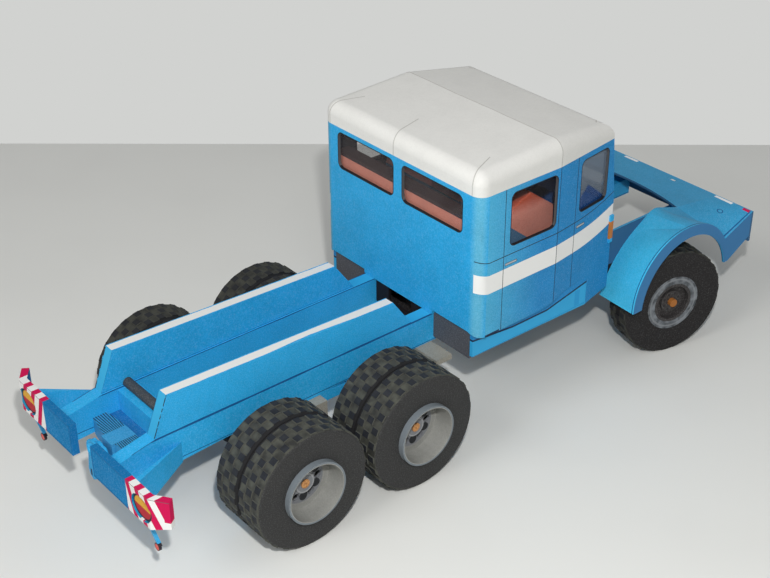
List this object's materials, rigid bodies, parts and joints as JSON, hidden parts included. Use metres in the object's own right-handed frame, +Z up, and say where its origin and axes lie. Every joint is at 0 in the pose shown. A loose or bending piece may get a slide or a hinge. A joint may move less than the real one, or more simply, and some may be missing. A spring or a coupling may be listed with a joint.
{
  "type": "paper model semi truck tractor unit",
  "caption": "Hand-made paper scale model of a three-axle semi truck tractor unit with tall deck rails, a striped rear board and a steered front axle; the bonnet is missing.",
  "frame": {"origin": "on the floor below the centre of the part's length and width", "axes": "+X forward, +Y to the left, +Z up"},
  "size_m": [0.255, 0.1008, 0.0994],
  "materials": {
    "amber_card": "printed",
    "blue_card": "printed",
    "clear_film": "clear",
    "dark_card": "printed",
    "dowel_wood": "plain",
    "grey_card": "printed",
    "red_card": "printed",
    "rim_card": "printed",
    "seat_card": "printed",
    "tyre_card": "printed",
    "white_card": "printed"
  },
  "bodies": {
    "chassis": {"board_braces": "blue_card", "bogie_spring_left": "dark_card", "bogie_spring_right": "dark_card", "cab_floor": "grey_card", "cab_front_wall": "blue_card", "cab_rear_wall": "blue_card", "cab_roof": "white_card", "cab_side_left": "blue_card", "cab_side_right": "blue_card", "cab_underframe": "dark_card", "chassis_boxes": "grey_card", "dashboard": "dark_card", "deck_rail_left": "white_card", "deck_rail_right": "white_card", "deck_roller": "blue_card", "fender_left": "blue_card", "fender_right": "blue_card", "fender_walls": "blue_card", "frame_side_left": "blue_card", "frame_side_right": "blue_card", "front_apron": "blue_card", "front_axle_beam": "dark_card", "front_plate": "blue_card", "front_seat_left": "seat_card", "front_seat_right": "seat_card", "mid_axle_beam": "dark_card", "rear_axle_beam": "dark_card", "rear_bench": "seat_card", "rear_board_left": "red_card", "rear_board_right": "red_card", "rear_crossmember": "blue_card", "rear_lamps": "red_card", "rear_reflectors": "red_card", "sill_left": "blue_card", "sill_right": "blue_card", "tow_coupling": "dark_card", "tow_step": "blue_card", "turn_lamps": "amber_card", "window_films": "clear_film"},
    "rear_wheels": {"rear_tyres_left": "tyre_card", "rear_tyres_right": "tyre_card", "rear_rim_left": "rim_card", "rear_rim_right": "rim_card", "rear_dowel": "dowel_wood"},
    "mid_wheels": {"mid_tyres_left": "tyre_card", "mid_tyres_right": "tyre_card", "mid_rim_left": "rim_card", "mid_rim_right": "rim_card", "mid_dowel": "dowel_wood"},
    "knuckle_left": {"steering_knuckle_left": "dark_card"},
    "knuckle_right": {"steering_knuckle_right": "dark_card"},
    "front_wheel_left": {"front_tyre_left": "tyre_card", "front_rim_left": "rim_card"},
    "front_wheel_right": {"front_tyre_right": "tyre_card", "front_rim_right": "rim_card"},
    "tie_rod": {"tie_rod": "dark_card"}
  },
  "joints": [
    {"name": "rear_axle_spin", "type": "hinge", "parent": "chassis", "child": "rear_wheels", "pos_m": [-0.07695, 0, 0.0205], "axis": [0, 1, 0], "continuous": true},
    {"name": "mid_axle_spin", "type": "hinge", "parent": "chassis", "child": "mid_wheels", "pos_m": [-0.03325, 0, 0.0205], "axis": [0, 1, 0], "continuous": true},
    {"name": "steer_left", "type": "hinge", "parent": "chassis", "child": "knuckle_left", "pos_m": [0.08975, 0.0335, 0.0205], "axis": [0, 0, 1], "range_deg": [-5, 35]},
    {"name": "steer_right", "type": "hinge", "parent": "chassis", "child": "knuckle_right", "pos_m": [0.08975, -0.0335, 0.0205], "axis": [0, 0, 1], "range_deg": [-5, 35]},
    {"name": "front_left_spin", "type": "hinge", "parent": "knuckle_left", "child": "front_wheel_left", "pos_m": [0.09156, 0.04026, 0.0205], "axis": [0.2588, 0.9659, 0], "continuous": true},
    {"name": "front_right_spin", "type": "hinge", "parent": "knuckle_right", "child": "front_wheel_right", "pos_m": [0.08794, -0.04026, 0.0205], "axis": [0.2588, 0.9659, 0], "continuous": true},
    {"name": "tie_rod_pivot", "type": "hinge", "parent": "knuckle_left", "child": "tie_rod", "pos_m": [0.08009, 0.03609, 0.017], "axis": [0, 0, 1], "range_deg": [-35, 5]}
  ],
  "couplings": [
    {"joint": "steer_right", "follows": "steer_left", "ratio": 1},
    {"joint": "tie_rod_pivot", "follows": "steer_left", "ratio": -1}
  ]
}
